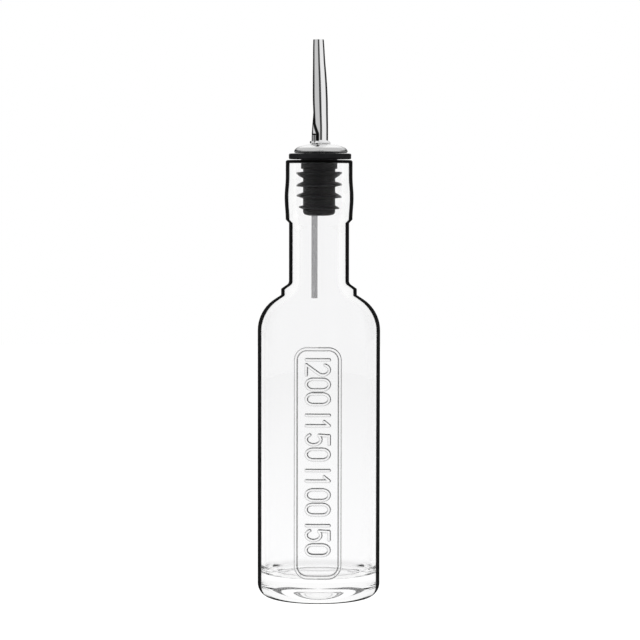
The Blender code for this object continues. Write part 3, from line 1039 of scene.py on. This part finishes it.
def outside_material():
    """Clear glass whose outline is painted as a dark line of even width, a painted dark reflection as a
    curved glass edge shows.
    """
    material, nodes, links = new_material("clear_glass_outside")
    shader = glass_shader(nodes)
    place = object_place(nodes, links)
    height = place["Z"]
    distance, outward = from_axis(nodes, links, place)
    limit = edge_limit(nodes, links, distance)
    level_edge = edge_clearness(nodes, links, limit, outward)
    true_edge = edge_clearness(nodes, links, limit)
    clear = math_node(nodes, links, "MAXIMUM", level_edge, true_edge)
    line_bottom = LIP_HEIGHT - LIP_LINE
    lip = map_range(nodes, links, height, line_bottom, line_bottom + LIP_LINE_FADE, 1.0, 0.0)
    clear = math_node(nodes, links, "MULTIPLY", clear, lip)
    clear = math_node(nodes, links, "MULTIPLY", clear, heel_clearness(nodes, links, height, distance))
    links.new(one_less(nodes, links, clear), shader.inputs["Roughness"])
    links.new(level_normal(nodes, links, height, outward, 1.0), shader.inputs["Normal"])
    # Painted shade on the relief's slopes, from the point attribute that raise_relief keeps.
    relief = nodes.new("ShaderNodeAttribute")
    relief.attribute_name = "relief_painted_shade"
    line = map_range(nodes, links, relief.outputs["Fac"], 0.0, RELIEF_FULL, 1.0, RELIEF_CLEAR, smooth=False)
    clear = math_node(nodes, links, "MULTIPLY", clear, line)
    # The painted black goes into the base colour: a painted dark reflection at the outline, lip and heel,
    # and painted shade on the relief's slopes.
    links.new(mix_colour(nodes, links, clear, PAINTED_LINE_BLACK, GLASS_TINT), shader.inputs["Base Color"])
    return material


def inside_material():
    """Clear glass with faint upright cords in it."""
    material, nodes, links = new_material("clear_glass_inside")
    shader = glass_shader(nodes)
    cords = place_group(nodes, uneven, CORDS)
    links.new(mix_colour(nodes, links, cords.outputs["Mask"], *CORD_TINTS), shader.inputs["Base Color"])
    place = object_place(nodes, links)
    _, outward = from_axis(nodes, links, place)
    links.new(level_normal(nodes, links, place["Z"], outward, -1.0), shader.inputs["Normal"])
    return material


def rubber_material():
    """Black rubber with a fine grain, slightly greyed in places."""
    material, nodes, links = new_material("black_rubber_moulded")
    shader = nodes["Principled BSDF"]
    shader.inputs["Specular IOR Level"].default_value = RUBBER_SHINE
    grain = place_group(nodes, uneven, RUBBER_GRAIN)
    dust = place_group(nodes, uneven, RUBBER_DUST).outputs["Mask"]
    share = map_range(nodes, links, dust, *RUBBER_TONE_RANGE, 0.0, 1.0)
    links.new(mix_colour(nodes, links, share, *RUBBER_TONES), shader.inputs["Base Color"])
    roughness = map_range(nodes, links, dust, *RUBBER_ROUGHNESS_RANGE, *RUBBER_ROUGHNESS)
    links.new(roughness, shader.inputs["Roughness"])
    links.new(grain.outputs["Normal"], shader.inputs["Normal"])
    return material


def steel_material(name, dark, light, smooth_roughness, dull_roughness, rim_height=None):
    """Steel with a faint haze and fine upright polishing marks, painted shade in the spout's fold, and below
    a height a rim painted darker, a painted reflection of the flange.
    """
    material, nodes, links = new_material(name)
    shader = nodes["Principled BSDF"]
    shader.inputs["Metallic"].default_value = 1
    haze = place_group(nodes, uneven, STEEL_HAZE).outputs["Mask"]
    polish = place_group(nodes, uneven, STEEL_POLISH)
    # Painted shade in the spout's fold, darkening the steel's colour.
    fold = nodes.new("ShaderNodeAttribute")
    fold.attribute_name = "fold_painted_shade"
    in_fold_shade = map_range(nodes, links, fold.outputs["Fac"], *FOLD_RANGE, 0.0, 1.0)
    tone = mix_colour(nodes, links, haze, dark, light)
    tone = mix_colour(nodes, links, in_fold_shade, tone, FOLD_SHADE_COLOUR)
    # Painted reflection: below the rim height the steel is painted a darker grey, standing in for the black
    # flange it mirrors.
    if rim_height:
        height = object_place(nodes, links)["Z"]
        above = map_range(nodes, links, height, rim_height - RIM_FADE, rim_height + RIM_FADE, 0.0, 1.0)
        tone = mix_colour(nodes, links, above, RIM_PAINTED_REFLECTION, tone)
    links.new(tone, shader.inputs["Base Color"])
    roughness = map_range(nodes, links, haze, *STEEL_HAZE_RANGE, smooth_roughness, dull_roughness)
    links.new(roughness, shader.inputs["Roughness"])
    links.new(polish.outputs["Normal"], shader.inputs["Normal"])
    return material


# Setting

def reflected_level(nodes, links, direction):
    """What polished steel mirrors: dark screens beside the bottle, a backlight, and white above them."""
    azimuth = math_node(nodes, links, "ARCTAN2", direction["X"], direction["Y"])
    behind = math_node(nodes, links, "ABSOLUTE", azimuth)
    screen = map_range(nodes, links, behind, *SCREEN_EDGE, SCREEN_LEVEL, 1.0)
    backlight = map_range(nodes, links, behind, *BACKLIGHT_EDGE, 1.0, 0.0)
    side = map_range(nodes, links, azimuth, *SIDE_BLEND, LEFT_LEVEL, 1.0)
    camera_gap = map_range(nodes, links, behind, *CAMERA_GAP_EDGE, 1.0, CAMERA_GAP_LEVEL)
    level = math_node(nodes, links, "MAXIMUM", screen, backlight)
    level = math_node(nodes, links, "MULTIPLY", level, side)
    level = math_node(nodes, links, "MULTIPLY", level, camera_gap)
    height = math_node(nodes, links, "ABSOLUTE", direction["Z"])
    above = map_range(nodes, links, height, *SCREEN_TOP, 0.0, 1.0)
    return mix_number(nodes, links, above, level, 1.0)


def make_world():
    """White all round for the eye and through the glass, with dark screens beside it for reflections."""
    world = bpy.data.worlds.new("studio")
    bpy.context.scene.world = world
    world.use_nodes = True
    nodes, links = world.node_tree.nodes, world.node_tree.links
    place = nodes.new("ShaderNodeTexCoord")
    parts = nodes.new("ShaderNodeSeparateXYZ")
    links.new(place.outputs["Generated"], parts.inputs[0])
    rays = nodes.new("ShaderNodeLightPath").outputs
    mirrored = reflected_level(nodes, links, parts.outputs)
    level = mix_number(nodes, links, rays["Is Glossy Ray"], 1.0, mirrored)
    seen_through = map_range(nodes, links, parts.outputs["Z"], *SKY_RANGE, 1.0, SKY_LEVEL)
    level = mix_number(nodes, links, rays["Is Transmission Ray"], level, seen_through)
    background = nodes["Background"]
    background.inputs["Color"].default_value = (1, 1, 1, 1)
    links.new(level, background.inputs["Strength"])


def make_floor():
    """A pale floor with painted shade: greyer as the steel mirrors it and as seen through the glass."""
    deselect()
    bpy.ops.mesh.primitive_plane_add(size=FLOOR_SIZE, location=(0, 0, -FLOOR_DROP))
    floor = bpy.context.object
    floor.name = "floor"
    material, nodes, links = new_material("pale_floor")
    shader = nodes["Principled BSDF"]
    shader.inputs["Roughness"].default_value = 1
    shader.inputs["Specular IOR Level"].default_value = 0
    shader.inputs["Emission Strength"].default_value = FLOOR_GLOW
    rays = nodes.new("ShaderNodeLightPath").outputs
    through = rays["Is Transmission Ray"]
    # Painted shade: greyer where the steel mirrors the floor and where it is seen through the glass, darker
    # where seen more steeply.
    mirrored = math_node(nodes, links, "SUBTRACT", rays["Is Glossy Ray"], through)
    layer = nodes.new("ShaderNodeLayerWeight")
    steep = map_range(nodes, links, layer.outputs["Facing"], *FLOOR_STEEPNESS, 1.0, 0.0)
    seen_through = mix_colour(nodes, links, steep, FLOOR_THROUGH_LEVEL, FLOOR_THROUGH_STEEP)
    colour = mix_colour(nodes, links, mirrored, FLOOR_COLOUR, FLOOR_MIRRORED)
    colour = mix_colour(nodes, links, through, colour, seen_through)
    links.new(colour, shader.inputs["Base Color"])
    links.new(colour, shader.inputs["Emission Color"])
    floor.data.materials.append(material)


def make_light():
    deselect()
    bpy.ops.object.light_add(type="AREA", location=LIGHT_PLACE)
    light = bpy.context.object
    light.name = "soft_light"
    light.data.size = LIGHT_SIZE
    light.data.energy = LIGHT_POWER
    light.visible_glossy = False
    light.visible_transmission = False
    light.rotation_euler = LIGHT_TURN


def make_camera():
    camera_data = bpy.data.cameras.new("camera")
    camera = bpy.data.objects.new("camera", camera_data)
    bpy.context.scene.collection.objects.link(camera)
    camera_data.lens = LENS
    camera_data.sensor_width = SENSOR
    tilt = math.atan((AIM_HEIGHT - CAMERA_HEIGHT) / CAMERA_DISTANCE)
    camera.location = (CAMERA_SHIFT_RIGHT, -CAMERA_DISTANCE, CAMERA_HEIGHT)
    camera.rotation_euler = (math.pi / 2 + tilt, CAMERA_ROLL, 0)
    bpy.context.scene.camera = camera


def set_view():
    scene = bpy.context.scene
    scene.view_settings.view_transform = "Standard"
    scene.view_settings.look = "None"
    scene.cycles.max_bounces = 24
    scene.cycles.transmission_bounces = 20
    scene.cycles.glossy_bounces = 8


uneven = mottle_group()
make_glass()
make_stopper()
polished = steel_material("steel_polished", *POLISHED)
dull = steel_material("steel_dull", *DULL)
# The spout's inside wall: steel painted near black, a painted shade.
shaded = steel_material("steel_inside_painted_shade", *PAINTED_SHADE_STEEL)
satin = steel_material("steel_satin", *SATIN, DOME_LOW[2] + RIM_HEIGHT)
make_dome(satin)
make_spout(polished, shaded)
make_air_tube(dull)
make_world()
make_floor()
make_light()
make_camera()
set_view()
